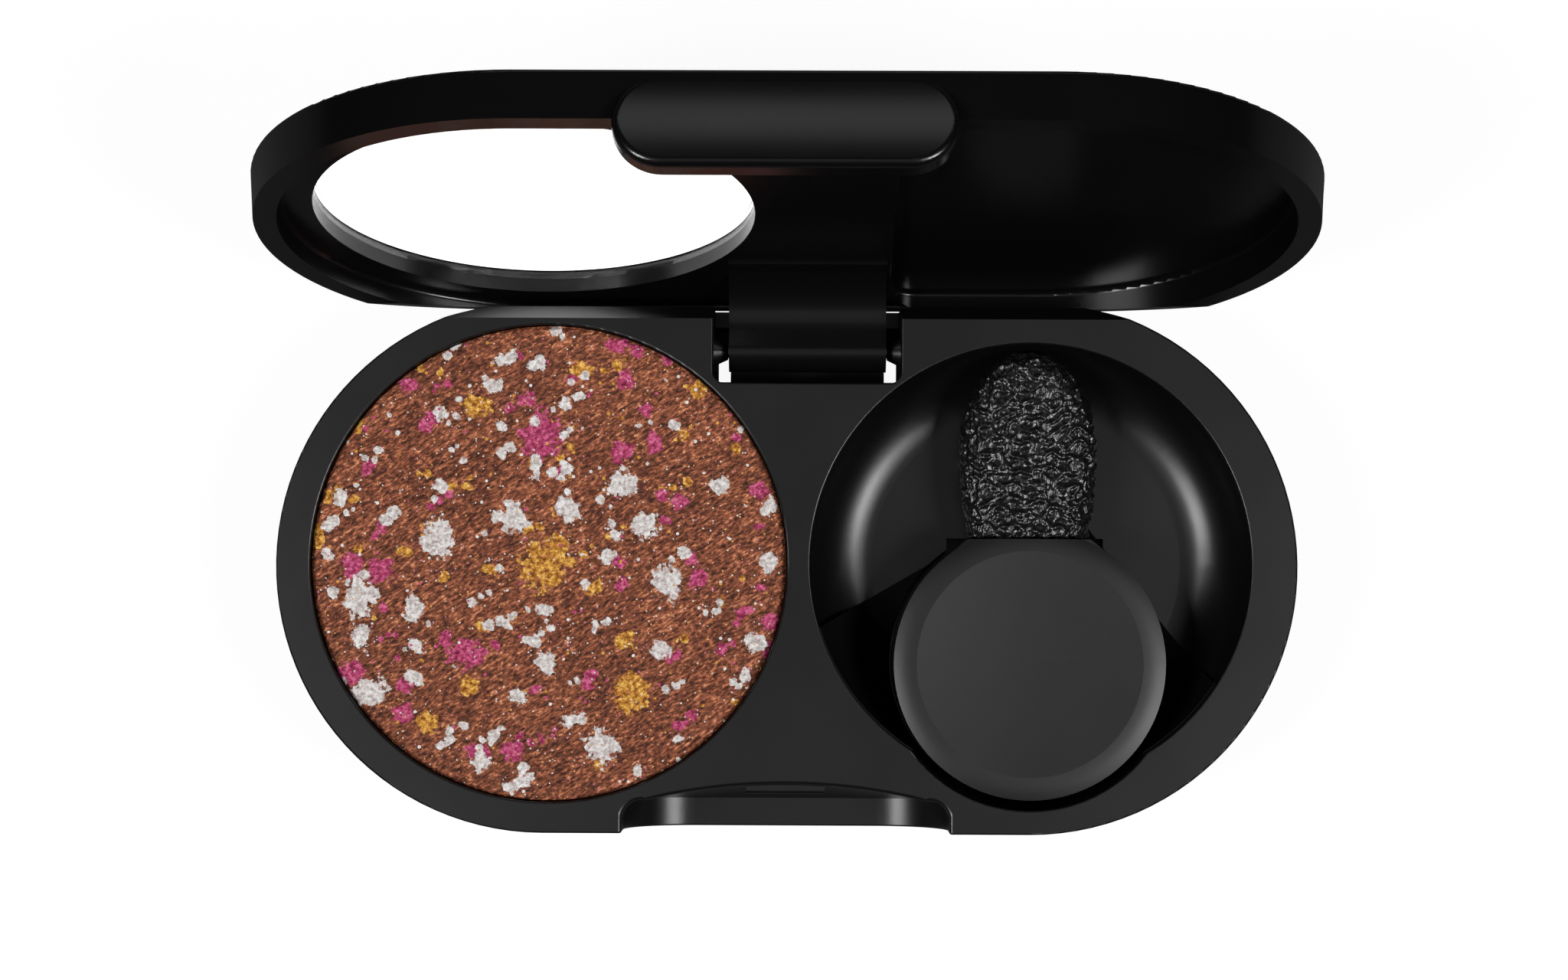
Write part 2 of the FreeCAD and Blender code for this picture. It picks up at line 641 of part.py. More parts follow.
def lid_frame():
    """Lid moulding with the hole for the window, the panel recess and the hinge arm."""
    inner_r = LID_RIM_R - RIM_W
    frame = lid_shell_blank()
    pocket = stadium_prism(inner_r, RIM - 1, RIM + ROOF_Z)
    pocket = rounded(pocket, ROOF_ROUND, flat_at(RIM + ROOF_Z))
    frame = frame.cut(pocket)

    panel = stadium_prism(inner_r, RIM, RIM + RIGHT_PANEL_Z)
    panel = panel.common(box(RIGHT_PANEL_X, 40, -40, 40, RIM - 1, RIM + 5))
    panel = rounded(panel, 1.8, lambda edge: (
        edge.BoundBox.ZLength > 1 and edge.BoundBox.XMax < RIGHT_PANEL_X + 0.1))
    panel = rounded(panel, PANEL_ROUND, flat_at(RIM + RIGHT_PANEL_Z))
    frame = frame.cut(panel)

    frame = frame.cut(disc(WINDOW_X, 0, WINDOW_LEDGE_R, RIM - 1, RIM + LID_H + 1))
    frame = frame.cut(disc(WINDOW_X, 0, WINDOW_HOLE_R, RIM + WINDOW_SEAT_Z, RIM + LID_H + 1))

    rise = math.tan(math.radians(OPEN_ANGLE - 90))
    far_y = LID_TOP_R + 3
    frame = frame.cut(along_x([
        (LID_CHAMFER_Y, RIM),
        (far_y, RIM + (far_y - LID_CHAMFER_Y) * rise),
        (far_y, RIM - 1),
        (LID_CHAMFER_Y, RIM - 1),
    ], -40, 40))
    return one_solid(frame.fuse(lid_arm()))


def lid_window():
    """Clear window: a shallow cap let into the lid from outside, on a ledge round the hole."""
    seat = RIM + WINDOW_SEAT_Z
    top = RIM + LID_H + WINDOW_PROUD
    cap = disc(WINDOW_X, 0, WINDOW_R, seat, top)
    cap = rounded(cap, 0.3, flat_at(top))
    inside = disc(WINDOW_X, 0, WINDOW_R - WINDOW_WALL, seat - 1, top - WINDOW_T)
    inside = rounded(inside, 0.15, flat_at(top - WINDOW_T))
    return one_solid(cap.cut(inside))


def thumb_tab():
    """Pill-shaped tab set on the lid's front, reaching down into the thumb notch."""
    half_h = (TAB_Z1 - TAB_Z0) / 2
    mid_z = RIM + (TAB_Z0 + TAB_Z1) / 2
    span = TAB_HALF_W - half_h
    depth = TAB_BACK_Y - TAB_FACE_Y
    bar = box(-span, span, TAB_FACE_Y, TAB_BACK_Y, mid_z - half_h, mid_z + half_h)
    for x in (-span, span):
        bar = bar.fuse(Part.makeCylinder(half_h, depth, Vector(x, TAB_FACE_Y, mid_z), Vector(0, 1, 0)))
    crown = Part.Arc(
        Vector(-TAB_HALF_W, TAB_FACE_Y, RIM + TAB_Z0),
        Vector(-TAB_HALF_W, TAB_FACE_Y + TAB_CROWN / 4, mid_z),
        Vector(-TAB_HALF_W, TAB_FACE_Y + TAB_CROWN, RIM + TAB_Z1)).toShape()
    ends = crown.Vertexes
    back = [
        ends[1].Point,
        Vector(-TAB_HALF_W, TAB_BACK_Y, RIM + TAB_Z1),
        Vector(-TAB_HALF_W, TAB_BACK_Y, RIM + TAB_Z0),
        ends[0].Point,
    ]
    side = Part.Face(Part.Wire([crown] + [Part.makeLine(a, b) for a, b in zip(back, back[1:])]))
    bar = one_solid(bar.common(side.extrude(Vector(2 * TAB_HALF_W, 0, 0))))
    bar = rounded(bar, TAB_ROUND, lambda edge: (
        edge.BoundBox.YMax < TAB_FACE_Y + TAB_CROWN + 1e-3))
    ridge_z = RIM + TAB_RIDGE_Z
    ridge = along_x([
        (TAB_BACK_Y - 0.2, ridge_z + 0.7),
        (TAB_RIDGE_Y, ridge_z + 0.2),
        (TAB_RIDGE_Y, ridge_z - 0.1),
        (TAB_BACK_Y - 0.2, ridge_z - 0.6),
    ], -TAB_RIDGE_HALF_W, TAB_RIDGE_HALF_W)
    return one_solid(bar.fuse(ridge).cut(lid_shell_blank()))


def hinge_pin():
    length = HINGE_X1 - HINGE_X0 + 2 * PIN_REACH - 0.1
    return Part.makeCylinder(
        PIN_R, length, Vector(HINGE_X0 - PIN_REACH + 0.05, AXIS_Y, AXIS_Z), Vector(1, 0, 0))


def swung_open(shape):
    """Turn a closed-lid shape back about the hinge axis onto its stop."""
    turn = Rotation(Vector(1, 0, 0), -OPEN_ANGLE)
    moved = shape.copy()
    moved.Placement = Placement(Vector(0, 0, 0), turn, Vector(0, AXIS_Y, AXIS_Z)).multiply(shape.Placement)
    return moved


# ---- assembly ----------------------------------------------------------------------

def build():
    SOLIDS["base_tray"] = base_tray()
    SOLIDS["base_bottom"] = base_bottom()
    SOLIDS["underside_label"] = underside_label()
    SOLIDS["eyeshadow_pan"] = eyeshadow_pan()
    SOLIDS["pan_adhesive"] = pan_adhesive()
    SOLIDS["pressed_powder"] = pressed_powder()
    SOLIDS["hinge_pin"] = hinge_pin()
    SOLIDS["handle_top"] = handle_top()
    SOLIDS["handle_bottom"] = handle_bottom()
    SOLIDS["applicator_stem"] = applicator_stem()
    SOLIDS["sponge_tip"] = sponge_tip()
    SOLIDS["lid_frame"] = swung_open(lid_frame())
    SOLIDS["lid_window"] = swung_open(lid_window())
    SOLIDS["thumb_tab"] = swung_open(thumb_tab())


build()
os.makedirs("parts", exist_ok=True)
for name, solid in SOLIDS.items():
    solid.exportStep("parts/%s.step" % name)
    bounds = solid.BoundBox
    print("%-16s %8.1f mm3  x %6.2f %6.2f  y %6.2f %6.2f  z %6.2f %6.2f  valid %s" % (
        name, solid.Volume, bounds.XMin, bounds.XMax, bounds.YMin, bounds.YMax,
        bounds.ZMin, bounds.ZMax, solid.isValid()))
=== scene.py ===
import math
import random

import bmesh
import bpy
from mathutils import Matrix, Vector, kdtree, noise


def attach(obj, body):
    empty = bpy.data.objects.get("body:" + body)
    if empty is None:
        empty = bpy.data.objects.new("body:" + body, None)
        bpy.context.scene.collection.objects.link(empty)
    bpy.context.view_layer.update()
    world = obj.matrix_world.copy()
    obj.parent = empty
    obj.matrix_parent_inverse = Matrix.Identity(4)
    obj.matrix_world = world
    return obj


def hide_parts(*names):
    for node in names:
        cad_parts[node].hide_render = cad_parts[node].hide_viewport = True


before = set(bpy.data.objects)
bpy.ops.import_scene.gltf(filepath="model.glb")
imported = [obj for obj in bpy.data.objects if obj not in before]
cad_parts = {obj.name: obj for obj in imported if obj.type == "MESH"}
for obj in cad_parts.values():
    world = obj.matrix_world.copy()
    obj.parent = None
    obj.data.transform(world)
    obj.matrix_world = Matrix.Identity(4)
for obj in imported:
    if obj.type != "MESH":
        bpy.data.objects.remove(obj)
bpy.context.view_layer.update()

MM = 0.001
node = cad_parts


# ---- base tray ---------------------------------------------------------------------
# The deck, outer wall, wells, hinge notch and thumb notch are one injection moulding in
# black ABS. The mould is finely sparked, so the skin is an even satin.

def start_material(name):
    """A new material with only its Principled shader and output."""
    material = bpy.data.materials.new(name)
    material.use_nodes = True
    nodes = material.node_tree.nodes
    shader = next(item for item in nodes if item.type == "BSDF_PRINCIPLED")
    return material, material.node_tree, shader


def add_node(tree, kind, **settings):
    """A node with its attributes, and its numbered or named inputs, set."""
    item = tree.nodes.new(kind)
    for key, value in settings.items():
        if key.startswith("in_"):
            socket = key[3:]
            item.inputs[int(socket) if socket.isdigit() else socket].default_value = value
        else:
            setattr(item, key, value)
    return item


def new_group(name, inputs, outputs):
    """A shader node group; inputs are (name, default) floats, outputs are (name, kind)."""
    group = bpy.data.node_groups.new(name, "ShaderNodeTree")
    for label, default in inputs:
        socket = group.interface.new_socket(label, in_out="INPUT", socket_type="NodeSocketFloat")
        socket.default_value = default
    for label, kind in outputs:
        group.interface.new_socket(label, in_out="OUTPUT", socket_type=kind)
    return group, group.nodes.new("NodeGroupInput"), group.nodes.new("NodeGroupOutput")


def moulded_skin_group():
    """Sparked mould texture, cloudy gloss and a few handling smudges."""
    group, given, out = new_group(
        "moulded_skin",
        [("Grain Size", 12000.0), ("Grain Depth", 0.15), ("Roughness", 0.4), ("Smudge", 0.05)],
        [("Roughness", "NodeSocketFloat"), ("Normal", "NodeSocketVector")])
    join = group.links.new
    place = group.nodes.new("ShaderNodeTexCoord")
    grain = add_node(group, "ShaderNodeTexNoise", in_Detail=3.0, in_Roughness=0.6)
    join(place.outputs["Object"], grain.inputs["Vector"])
    join(given.outputs["Grain Size"], grain.inputs["Scale"])
    bump = add_node(group, "ShaderNodeBump", in_Distance=0.00002)
    join(given.outputs["Grain Depth"], bump.inputs["Strength"])
    join(grain.outputs["Fac"], bump.inputs["Height"])
    cloud = add_node(group, "ShaderNodeTexNoise", in_Scale=140.0, in_Detail=4.0, in_Roughness=0.55)
    join(place.outputs["Object"], cloud.inputs["Vector"])
    centred = add_node(group, "ShaderNodeMath", operation="SUBTRACT", in_1=0.5)
    join(cloud.outputs["Fac"], centred.inputs[0])
    scaled = add_node(group, "ShaderNodeMath", operation="MULTIPLY")
    join(centred.outputs[0], scaled.inputs[0])
    join(given.outputs["Smudge"], scaled.inputs[1])
    rough = add_node(group, "ShaderNodeMath", operation="ADD", use_clamp=True)
    join(scaled.outputs[0], rough.inputs[0])
    join(given.outputs["Roughness"], rough.inputs[1])
    join(rough.outputs[0], out.inputs["Roughness"])
    join(bump.outputs["Normal"], out.inputs["Normal"])
    return group


moulded_skin = moulded_skin_group()


def black_plastic(name, colour, roughness, smudge=0.08, grain_depth=0.15, grain_size=12000.0):
    """Black moulded plastic with the skin group for its gloss and texture."""
    material, tree, shader = start_material(name)
    shader.inputs["Base Color"].default_value = (*colour, 1.0)
    shader.inputs["IOR"].default_value = 1.5
    skin = tree.nodes.new("ShaderNodeGroup")
    skin.node_tree = moulded_skin
    skin.inputs["Grain Size"].default_value = grain_size
    skin.inputs["Grain Depth"].default_value = grain_depth
    skin.inputs["Roughness"].default_value = roughness
    skin.inputs["Smudge"].default_value = smudge
    tree.links.new(skin.outputs["Roughness"], shader.inputs["Roughness"])
    tree.links.new(skin.outputs["Normal"], shader.inputs["Normal"])
    return material


def dress(name, material):
    """Give a CAD node's slots one finish."""
    for item in node[name].material_slots:
        item.material = material


deck_black = black_plastic("case_satin_black", (0.004, 0.004, 0.0042), 0.31)
dress("base_tray", deck_black)


# ---- base bottom and its label -----------------------------------------------------
# A flat cover welded into the skirt closes the underside. A blank paper label is let into
# it, so that the case stands on the cover and not on the label.

dress("base_bottom", black_plastic("cover_matt_black", (0.006, 0.006, 0.006), 0.5))

label_paper, label_tree, label_shader = start_material("label_paper")
label_place = label_tree.nodes.new("ShaderNodeTexCoord")
fibre = add_node(label_tree, "ShaderNodeTexNoise", in_Scale=2600.0, in_Detail=5.0, in_Roughness=0.7)
label_tree.links.new(label_place.outputs["Object"], fibre.inputs["Vector"])
fibre_tone = label_tree.nodes.new("ShaderNodeValToRGB")
fibre_tone.color_ramp.elements[0].color = (0.68, 0.67, 0.64, 1.0)
fibre_tone.color_ramp.elements[1].color = (0.82, 0.82, 0.80, 1.0)
label_tree.links.new(fibre.outputs["Fac"], fibre_tone.inputs["Fac"])
label_tree.links.new(fibre_tone.outputs["Color"], label_shader.inputs["Base Color"])
fibre_bump = add_node(label_tree, "ShaderNodeBump", in_Strength=0.3, in_Distance=0.00002)
label_tree.links.new(fibre.outputs["Fac"], fibre_bump.inputs["Height"])
label_tree.links.new(fibre_bump.outputs["Normal"], label_shader.inputs["Normal"])
label_shader.inputs["Roughness"].default_value = 0.6
dress("underside_label", label_paper)


# ---- metal pan and adhesive --------------------------------------------------------
# A shallow pan drawn from thin tinplate, held to the floor of its well by a disc of clear
# double-sided tape. Drawing leaves fine rings round the pan's wall.

pan_metal, pan_tree, pan_shader = start_material("pan_drawn_metal")
pan_place = pan_tree.nodes.new("ShaderNodeTexCoord")
pan_stretch = pan_tree.nodes.new("ShaderNodeMapping")
pan_stretch.inputs["Scale"].default_value = (0.06, 0.06, 1.0)
pan_rings = add_node(pan_tree, "ShaderNodeTexNoise", in_Scale=9000.0, in_Detail=3.0)
pan_tree.links.new(pan_place.outputs["Object"], pan_stretch.inputs["Vector"])
pan_tree.links.new(pan_stretch.outputs["Vector"], pan_rings.inputs["Vector"])
pan_gloss = add_node(pan_tree, "ShaderNodeMapRange", in_3=0.26, in_4=0.44)
pan_tree.links.new(pan_rings.outputs["Fac"], pan_gloss.inputs["Value"])
pan_tree.links.new(pan_gloss.outputs["Result"], pan_shader.inputs["Roughness"])
pan_bump = add_node(pan_tree, "ShaderNodeBump", in_Strength=0.25, in_Distance=0.00001)
pan_tree.links.new(pan_rings.outputs["Fac"], pan_bump.inputs["Height"])
pan_tree.links.new(pan_bump.outputs["Normal"], pan_shader.inputs["Normal"])
pan_shader.inputs["Base Color"].default_value = (0.7, 0.7, 0.71, 1.0)
pan_shader.inputs["Metallic"].default_value = 1.0
dress("eyeshadow_pan", pan_metal)

tape, tape_tree, tape_shader = start_material("pan_tape")
tape_place = tape_tree.nodes.new("ShaderNodeTexCoord")
tape_haze = add_node(tape_tree, "ShaderNodeTexNoise", in_Scale=700.0, in_Detail=4.0)
tape_tree.links.new(tape_place.outputs["Object"], tape_haze.inputs["Vector"])
tape_tone = tape_tree.nodes.new("ShaderNodeValToRGB")
tape_tone.color_ramp.elements[0].color = (0.62, 0.60, 0.52, 1.0)
tape_tone.color_ramp.elements[1].color = (0.74, 0.73, 0.68, 1.0)
tape_tree.links.new(tape_haze.outputs["Fac"], tape_tone.inputs["Fac"])
tape_tree.links.new(tape_tone.outputs["Color"], tape_shader.inputs["Base Color"])
tape_shader.inputs["Roughness"].default_value = 0.3
dress("pan_adhesive", tape)


# ---- pressed powder ----------------------------------------------------------------
# Brown shimmering powder pressed into the pan under a grained cloth, with crumbs of pink,
# cream and gold powder pressed in. The disc stands a little proud of the pan's rim.

POWDER_X, POWDER_Y = -15.15 * MM, 0.13 * MM
POWDER_R = 15.12 * MM
POWDER_TOP = 9.55 * MM
POWDER_BRIM = 9.21 * MM
POWDER_IN_PAN_R = 14.84 * MM
POWDER_FOOT = 6.66 * MM
GRAIN_TURN = math.radians(31.0)

# Crumbs as (x, y, half width, half length) in millimetres from the middle of the pan
PINK_CRUMBS = [
    (-0.60, 8.13, 1.25, 1.5), (4.52, 7.12, 0.75, 0.6), (6.67, 7.68, 0.55, 0.7), (8.43, 3.91, 0.6, 0.5),
    (9.53, -0.95, 0.6, 0.8), (-5.27, -5.82, 1.15, 0.85), (-12.54, -0.30, 0.75, 0.85),
    (-10.79, -0.55, 0.85, 0.8), (-12.54, -7.07, 1.0, 0.8), (-9.13, -7.83, 0.6, 0.5), (-9.23, -9.68, 0.7, 0.6),
    (-2.26, -12.09, 0.8, 0.6), (-4.42, -11.99, 0.7, 0.6), (-7.78, 8.98, 0.6, 0.7), (-9.03, 11.34, 0.6, 0.5),
    (-11.69, 6.07, 0.4, 0.6), (4.26, 13.85, 0.7, 0.5), (4.82, 11.64, 0.5, 0.6), (6.12, 9.78, 0.5, 0.45),
    (13.40, 4.67, 0.5, 0.7), (0.55, 5.72, 0.55, 0.4), (4.47, 0.10, 0.5, 0.4), (14.15, -3.81, 0.5, 0.6),
]
CREAM_CRUMBS = [
    (-7.12, 1.56, 1.05, 1.25), (-2.26, 2.81, 0.85, 0.95), (4.67, 5.02, 0.9, 0.8), (6.12, 2.41, 0.9, 0.9),
    (7.53, -1.20, 0.9, 1.1), (-12.19, -2.31, 0.85, 1.25), (-11.29, -8.28, 1.1, 0.9),
    (3.46, -11.64, 1.0, 1.1), (-11.99, -4.67, 0.65, 0.8), (-0.10, -6.37, 0.7, 0.6), (10.94, 5.02, 0.6, 0.6),
    (14.0, 0.10, 0.6, 0.7), (-4.32, -12.85, 0.6, 0.5), (1.40, 3.21, 0.6, 0.7), (-0.30, -2.96, 0.6, 0.35),
    (7.12, -5.57, 0.7, 0.6), (13.20, -4.97, 0.6, 0.7), (-3.61, 11.29, 0.6, 0.5), (-8.6, -3.0, 0.55, 0.85),
    (-0.9, 6.3, 0.35, 0.8), (-7.0, 4.8, 0.5, 0.35), (0.9, 3.6, 0.5, 0.7),
]
GOLD_CRUMBS = [
    (-0.40, -0.15, 1.4, 1.6), (0.5, 1.1, 0.9, 0.7), (5.37, -8.28, 1.1, 1.25), (-4.72, 9.98, 0.9, 0.7),
    (-5.02, -7.93, 0.7, 0.6), (-7.68, -10.14, 0.7, 0.6), (-14.70, 1.61, 0.4, 0.8), (9.38, 11.09, 0.7, 0.6),
    (2.01, 12.24, 0.7, 0.6), (4.92, -4.97, 0.8, 0.6), (-4.11, -4.06, 0.55, 0.35), (-9.3, 0.7, 0.6, 0.3),
    (-3.6, -0.4, 0.7, 0.3),
]


def small_crumbs(seed, count, smallest, largest):
    """Crumbs too small to place one by one, in loose strings along the cloth's grain."""
    chance = random.Random(seed)
    found = []
    while len(found) < count:
        x, y = chance.uniform(-15, 15), chance.uniform(-15, 15)
        for link in range(chance.choice((1, 1, 2, 3, 4))):
            along = link * chance.uniform(0.25, 0.6)
            size = chance.uniform(smallest, largest)
            found.append((x + along * math.cos(GRAIN_TURN) + chance.gauss(0, 0.14),
                          y + along * math.sin(GRAIN_TURN) + chance.gauss(0, 0.14),
                          size, size * chance.uniform(0.7, 1.3)))
    return found


def crumb_field(tree, points, crumbs):
    """For each point, 1 in the middle of a crumb and 0 on its ragged edge or outside it."""
    values = [0.0] * len(points)
    for x, y, half_w, half_l in crumbs:
        middle = Vector((POWDER_X + x * MM, POWDER_Y + y * MM, 0))
        for spot, index, gap in tree.find_range(middle, 1.9 * max(half_w, half_l) * MM):
            away = spot - middle
            across = math.hypot(away.x / half_w, away.y / half_l) / MM
            ragged = 0.4 * noise.noise(spot * 1350.0) + 0.38 * noise.noise(spot * 3300.0)
            values[index] = max(values[index], 1.0 - across / 1.25 + ragged)
    return values


bpy.ops.object.select_all(action="DESELECT")
bpy.ops.mesh.primitive_circle_add(vertices=480, radius=POWDER_R, location=(POWDER_X, POWDER_Y, POWDER_TOP))
powder_disc = bpy.context.object
powder_disc.name = "pressed_powder_disc"
bpy.ops.object.mode_set(mode="EDIT")
bpy.ops.mesh.select_all(action="SELECT")
bpy.ops.mesh.fill_grid(span=120)
bpy.ops.mesh.select_all(action="SELECT")
bpy.ops.mesh.subdivide(number_cuts=1)
bpy.ops.mesh.select_mode(type="EDGE")
bpy.ops.mesh.select_all(action="DESELECT")
bpy.ops.mesh.select_non_manifold()
bpy.ops.mesh.extrude_edges_move(TRANSFORM_OT_translate={"value": (0, 0, POWDER_BRIM - POWDER_TOP)})
shrink = POWDER_IN_PAN_R / POWDER_R
bpy.ops.mesh.extrude_edges_move(TRANSFORM_OT_translate={"value": (0, 0, 0)})
bpy.ops.transform.resize(value=(shrink, shrink, 1), center_override=(POWDER_X, POWDER_Y, POWDER_BRIM))
bpy.ops.mesh.extrude_edges_move(TRANSFORM_OT_translate={"value": (0, 0, POWDER_FOOT - POWDER_BRIM)})
bpy.ops.mesh.edge_face_add()
bpy.ops.mesh.select_all(action="DESELECT")
bpy.ops.object.mode_set(mode="OBJECT")
bpy.ops.object.transform_apply(location=True, rotation=True, scale=True)

pressed = [vert for vert in powder_disc.data.vertices if vert.co.z > POWDER_TOP - 0.01 * MM]
spots = [Vector((vert.co.x, vert.co.y, 0)) for vert in pressed]
nearby = kdtree.KDTree(len(spots))
for place, spot in enumerate(spots):
    nearby.insert(spot, place)
nearby.balance()
crumbs = {
    "pink": crumb_field(nearby, spots, PINK_CRUMBS + small_crumbs(3, 80, 0.12, 0.42)),
    "cream": crumb_field(nearby, spots, CREAM_CRUMBS + small_crumbs(7, 210, 0.12, 0.46)),
    "gold": crumb_field(nearby, spots, GOLD_CRUMBS + small_crumbs(11, 90, 0.12, 0.36)),
}
for colour, values in crumbs.items():
    layer = powder_disc.data.attributes.new(colour, "FLOAT", "POINT")
    for vert, value in zip(pressed, values):
        layer.data[vert.index].value = value

for place, (vert, spot) in enumerate(zip(pressed, spots)):
    along = spot.x * math.cos(GRAIN_TURN) + spot.y * math.sin(GRAIN_TURN)
    across = spot.y * math.cos(GRAIN_TURN) - spot.x * math.sin(GRAIN_TURN)
    cloth = noise.noise(Vector((along * 620.0, across * 2500.0, 3.0)))
    crumbly = noise.noise(spot * 3400.0)
    crumb = min(1.0, max(0.0, max(field[place] for field in crumbs.values()) * 2.0))
    lumpy = noise.noise(spot * 1900.0)
    height = 0.050 * cloth + 0.034 * crumbly + crumb * (0.07 * lumpy + 0.01)
    to_rim = POWDER_R - math.hypot(spot.x - POWDER_X, spot.y - POWDER_Y)
    rim_fall = max(0.0, 1.0 - to_rim / (0.35 * MM)) ** 2
    vert.co.z += (height - 0.04 - 0.14 * rim_fall) * MM
powder_disc.data.polygons.foreach_set("use_smooth", [True] * len(powder_disc.data.polygons))
powder_disc.data.update()
bpy.ops.object.shade_smooth_by_angle(angle=math.radians(50))

powder, powder_tree, powder_shader = start_material("powder_pressed_brown")
powder_link = powder_tree.links.new
powder_place = powder_tree.nodes.new("ShaderNodeTexCoord")
cloth_turn = add_node(powder_tree, "ShaderNodeMapping", vector_type="TEXTURE")
cloth_turn.inputs["Rotation"].default_value = (0.0, 0.0, GRAIN_TURN)
cloth_turn.inputs["Scale"].default_value = (2.1, 1.0, 1.0)
powder_link(powder_place.outputs["Object"], cloth_turn.inputs["Vector"])
flake = add_node(powder_tree, "ShaderNodeTexNoise", in_Scale=6200.0, in_Detail=2.0, in_Roughness=0.65)
powder_link(cloth_turn.outputs["Vector"], flake.inputs["Vector"])
furrow = add_node(powder_tree, "ShaderNodeTexNoise", in_Scale=3400.0, in_Detail=2.0, in_Roughness=0.5)
powder_link(cloth_turn.outputs["Vector"], furrow.inputs["Vector"])
cloudy = add_node(powder_tree, "ShaderNodeTexNoise", in_Scale=240.0, in_Detail=3.0)
powder_link(powder_place.outputs["Object"], cloudy.inputs["Vector"])


def weigh(tree, first, first_share, second, second_share):
    """first and second, each times its share, added."""
    scaled = add_node(tree, "ShaderNodeMath", operation="MULTIPLY", in_1=first_share)
    tree.links.new(first, scaled.inputs[0])
    total = add_node(tree, "ShaderNodeMath", operation="MULTIPLY_ADD", in_1=second_share)
    tree.links.new(second, total.inputs[0])
    tree.links.new(scaled.outputs[0], total.inputs[2])
    return total.outputs[0]


def ramp(tree, value, *stops):
    """Colours along value; stops are (position, (r, g, b))."""
    item = tree.nodes.new("ShaderNodeValToRGB")
    while len(item.color_ramp.elements) < len(stops):
        item.color_ramp.elements.new(0.5)
    for element, (position, colour) in zip(item.color_ramp.elements, stops):
        element.position = position
        element.color = (*colour, 1.0)
    tree.links.new(value, item.inputs["Fac"])
    return item.outputs["Color"]


def mixed(tree, mask, under, over):
    """over shows where mask is 1, and under where it is 0."""
    item = add_node(tree, "ShaderNodeMix", data_type="RGBA")
    tree.links.new(mask, item.inputs["Factor"])
    tree.links.new(under, item.inputs["A"])
    tree.links.new(over, item.inputs["B"])
    return item.outputs["Result"]


speckle_and_painted_relief = weigh(powder_tree, flake.outputs["Fac"], 0.58, furrow.outputs["Fac"], 0.42)
speckle_and_painted_relief = weigh(powder_tree, speckle_and_painted_relief, 0.9, cloudy.outputs["Fac"], 0.1)
# The grain's colour follows the same noise as its bump. Part of it is the powder's own speckle, and part is painted
# light: raised grain is painted lighter, up to a peach highlight, and the furrows are painted as darker shade.
tone = ramp(
    powder_tree, speckle_and_painted_relief,
    (0.37, (0.045, 0.010, 0.004)), (0.45, (0.125, 0.034, 0.014)), (0.53, (0.27, 0.078, 0.034)),
    (0.60, (0.54, 0.185, 0.085)), (0.68, (0.95, 0.46, 0.26)))

ragged_edge = add_node(powder_tree, "ShaderNodeTexNoise", in_Scale=5200.0, in_Detail=3.0, in_Roughness=0.7)
powder_link(powder_place.outputs["Object"], ragged_edge.inputs["Vector"])
crumb_relief_painted_light = add_node(powder_tree, "ShaderNodeTexNoise", in_Scale=3600.0, in_Detail=3.0, in_Roughness=0.7)
powder_link(powder_place.outputs["Object"], crumb_relief_painted_light.inputs["Vector"])
crumb_masks = []
# Each crumb's colour ramp follows the noise that also raises its bump. Over the crumb's own pink, cream or gold,
# its raised parts carry a painted highlight and its low parts carry painted shade.
for colour, dark, middle, light in (
        ("gold", (0.20, 0.055, 0.004), (0.58, 0.24, 0.025), (0.95, 0.60, 0.14)),
        ("pink", (0.20, 0.010, 0.045), (0.48, 0.045, 0.145), (0.74, 0.18, 0.34)),
        ("cream", (0.42, 0.35, 0.33), (0.70, 0.64, 0.62), (0.92, 0.90, 0.88))):
    field = add_node(powder_tree, "ShaderNodeAttribute", attribute_name=colour)
    edge = weigh(powder_tree, field.outputs["Fac"], 1.0, ragged_edge.outputs["Fac"], 0.9)
    mask = add_node(powder_tree, "ShaderNodeMapRange", in_1=0.64, in_2=0.72)
    powder_link(edge, mask.inputs["Value"])
    crumb_masks.append(mask.outputs["Result"])
    crumb_tone = ramp(powder_tree, crumb_relief_painted_light.outputs["Fac"], (0.36, dark), (0.5, middle), (0.64, light))
    tone = mixed(powder_tree, mask.outputs["Result"], tone, crumb_tone)

for size, rarity, colours in (
        (3600.0, 0.965, ((0.0, (0.80, 0.76, 0.74)), (0.5, (0.55, 0.08, 0.20)), (0.75, (0.70, 0.34, 0.05)))),
        (6400.0, 0.94, ((0.0, (0.75, 0.66, 0.62)), (0.45, (0.60, 0.20, 0.26)), (0.7, (0.72, 0.40, 0.12))))):
    dot = add_node(powder_tree, "ShaderNodeTexVoronoi", in_Scale=size)
    powder_link(powder_place.outputs["Object"], dot.inputs["Vector"])
    parts = powder_tree.nodes.new("ShaderNodeSeparateColor")
    powder_link(dot.outputs["Color"], parts.inputs["Color"])
    chosen = add_node(powder_tree, "ShaderNodeMath", operation="GREATER_THAN", in_1=rarity)
    powder_link(parts.outputs["Red"], chosen.inputs[0])
    inside = add_node(powder_tree, "ShaderNodeMath", operation="LESS_THAN", in_1=0.4)
    powder_link(dot.outputs["Distance"], inside.inputs[0])
    both = add_node(powder_tree, "ShaderNodeMath", operation="MULTIPLY")
    powder_link(chosen.outputs[0], both.inputs[0])
    powder_link(inside.outputs[0], both.inputs[1])
    dot_tone = ramp(powder_tree, parts.outputs["Green"], *colours)
    dot_tone.node.color_ramp.interpolation = "CONSTANT"
    tone = mixed(powder_tree, both.outputs[0], tone, dot_tone)
powder_link(tone, powder_shader.inputs["Base Color"])

